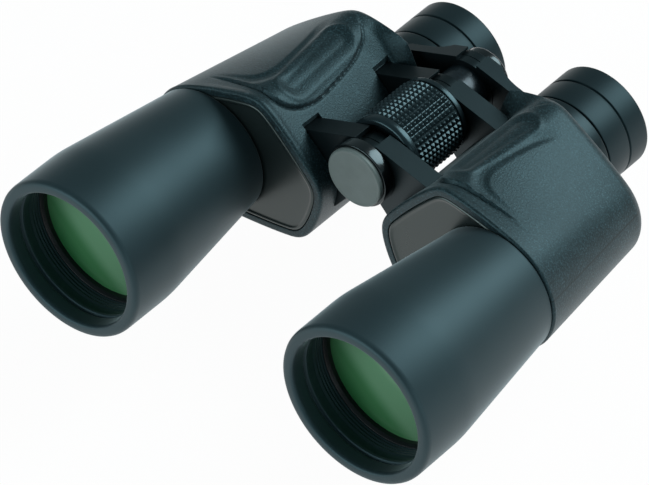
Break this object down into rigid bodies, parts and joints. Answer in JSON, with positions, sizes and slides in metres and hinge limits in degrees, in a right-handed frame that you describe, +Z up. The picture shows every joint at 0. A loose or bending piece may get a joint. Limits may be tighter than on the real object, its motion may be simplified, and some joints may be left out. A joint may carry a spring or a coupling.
{
  "type": "binoculars",
  "caption": "Porro-prism binoculars with a folding hinge, knurled focus wheel moving the eyepiece bridge, dioptre ring and pull-off front cap.",
  "frame": {"origin": "middle of the base: centre of the bounding box in X and Y, at its lowest height", "axes": "+X to the right barrel as seen from behind the objectives, +Y from the objective rims to the eyecups along the optical axes, +Z up"},
  "size_m": [0.1922, 0.1816, 0.0652],
  "materials": {
    "casting": "satin",
    "armour": "fine pebbled matte",
    "cover_plate": "satin",
    "barrel_skin": "satin",
    "coated_glass": "polished, green coating",
    "black_metal": "black satin",
    "shelf_metal": "machined",
    "prism_glass": "polished",
    "spring_steel": "satin",
    "axle_steel": "turned",
    "gloss_black": "gloss",
    "grey_cap": "brushed, grey",
    "wheel_rubber": "knurled",
    "stem_metal": "turned, black",
    "bridge_metal": "satin",
    "eyecup_rubber": "matte",
    "ring_plastic": "satin"
  },
  "bodies": {
    "right_half": {"right_prism_housing": "casting", "right_front_hinge_arm": "casting", "right_rear_hinge_arm": "casting", "right_armour": "armour", "right_front_cover": "cover_plate", "right_rear_cover": "cover_plate", "right_objective_barrel": "barrel_skin", "right_crown_lens": "coated_glass", "right_flint_lens": "coated_glass", "right_lens_ring": "black_metal", "right_prism_shelf": "shelf_metal", "right_rear_prism": "prism_glass", "right_front_prism": "prism_glass", "right_prism_straps": "spring_steel", "hinge_axle": "axle_steel", "hinge_nose": "gloss_black"},
    "left_half": {"left_prism_housing": "casting", "left_front_hinge_arm": "casting", "left_rear_hinge_arm": "casting", "left_armour": "armour", "left_front_cover": "cover_plate", "left_rear_cover": "cover_plate", "left_objective_barrel": "barrel_skin", "left_crown_lens": "coated_glass", "left_flint_lens": "coated_glass", "left_lens_ring": "black_metal", "left_prism_shelf": "shelf_metal", "left_rear_prism": "prism_glass", "left_front_prism": "prism_glass", "left_prism_straps": "spring_steel"},
    "cap": {"front_cap": "grey_cap"},
    "wheel": {"focus_wheel": "wheel_rubber"},
    "bridge": {"focus_stem": "stem_metal", "bridge_right_arm": "bridge_metal", "bridge_end_cap": "gloss_black"},
    "right_eyepiece": {"right_eyepiece_barrel": "black_metal", "right_field_lens": "coated_glass", "right_eye_lens": "coated_glass", "right_bezel": "black_metal"},
    "diopter": {"diopter_ring": "ring_plastic", "right_eyecup": "eyecup_rubber"},
    "left_eyepiece": {"bridge_left_arm": "bridge_metal", "left_eyepiece_barrel": "black_metal", "left_field_lens": "coated_glass", "left_eye_lens": "coated_glass", "left_bezel": "black_metal", "left_eyepiece_collar": "ring_plastic", "left_eyecup": "eyecup_rubber"}
  },
  "joints": [
    {"name": "fold", "type": "hinge", "parent": "right_half", "child": "left_half", "pos_m": [0, 0.0192, 0.0473], "axis": [0, 1, 0], "range_deg": [-19.4, 26.2]},
    {"name": "cap_pull", "type": "slide", "parent": "right_half", "child": "cap", "axis": [0, -1, 0], "range_m": [0, 0.014]},
    {"name": "focus_turn", "type": "hinge", "parent": "right_half", "child": "wheel", "pos_m": [0, 0.0207, 0.0473], "axis": [0, 1, 0], "range_deg": [-200, 257]},
    {"name": "focus_travel", "type": "slide", "parent": "right_half", "child": "bridge", "axis": [0, 1, 0], "range_m": [-0.0035, 0.0045]},
    {"name": "bridge_fold", "type": "hinge", "parent": "bridge", "child": "left_eyepiece", "pos_m": [0, 0.0572, 0.0473], "axis": [0, 1, 0], "range_deg": [-19.4, 26.2]},
    {"name": "diopter_shift", "type": "slide", "parent": "bridge", "child": "right_eyepiece", "axis": [0, 1, 0], "range_m": [-0.001, 0.001]},
    {"name": "diopter_turn", "type": "hinge", "parent": "right_eyepiece", "child": "diopter", "pos_m": [0.032, 0.0742, 0.026], "axis": [0, 1, 0], "range_deg": [-62, 62]}
  ],
  "couplings": [
    {"joint": "focus_turn", "follows": "focus_travel", "rad_per_m": 981.7},
    {"joint": "bridge_fold", "follows": "fold", "ratio": 1},
    {"joint": "diopter_turn", "follows": "diopter_shift", "rad_per_m": 1052.6}
  ]
}
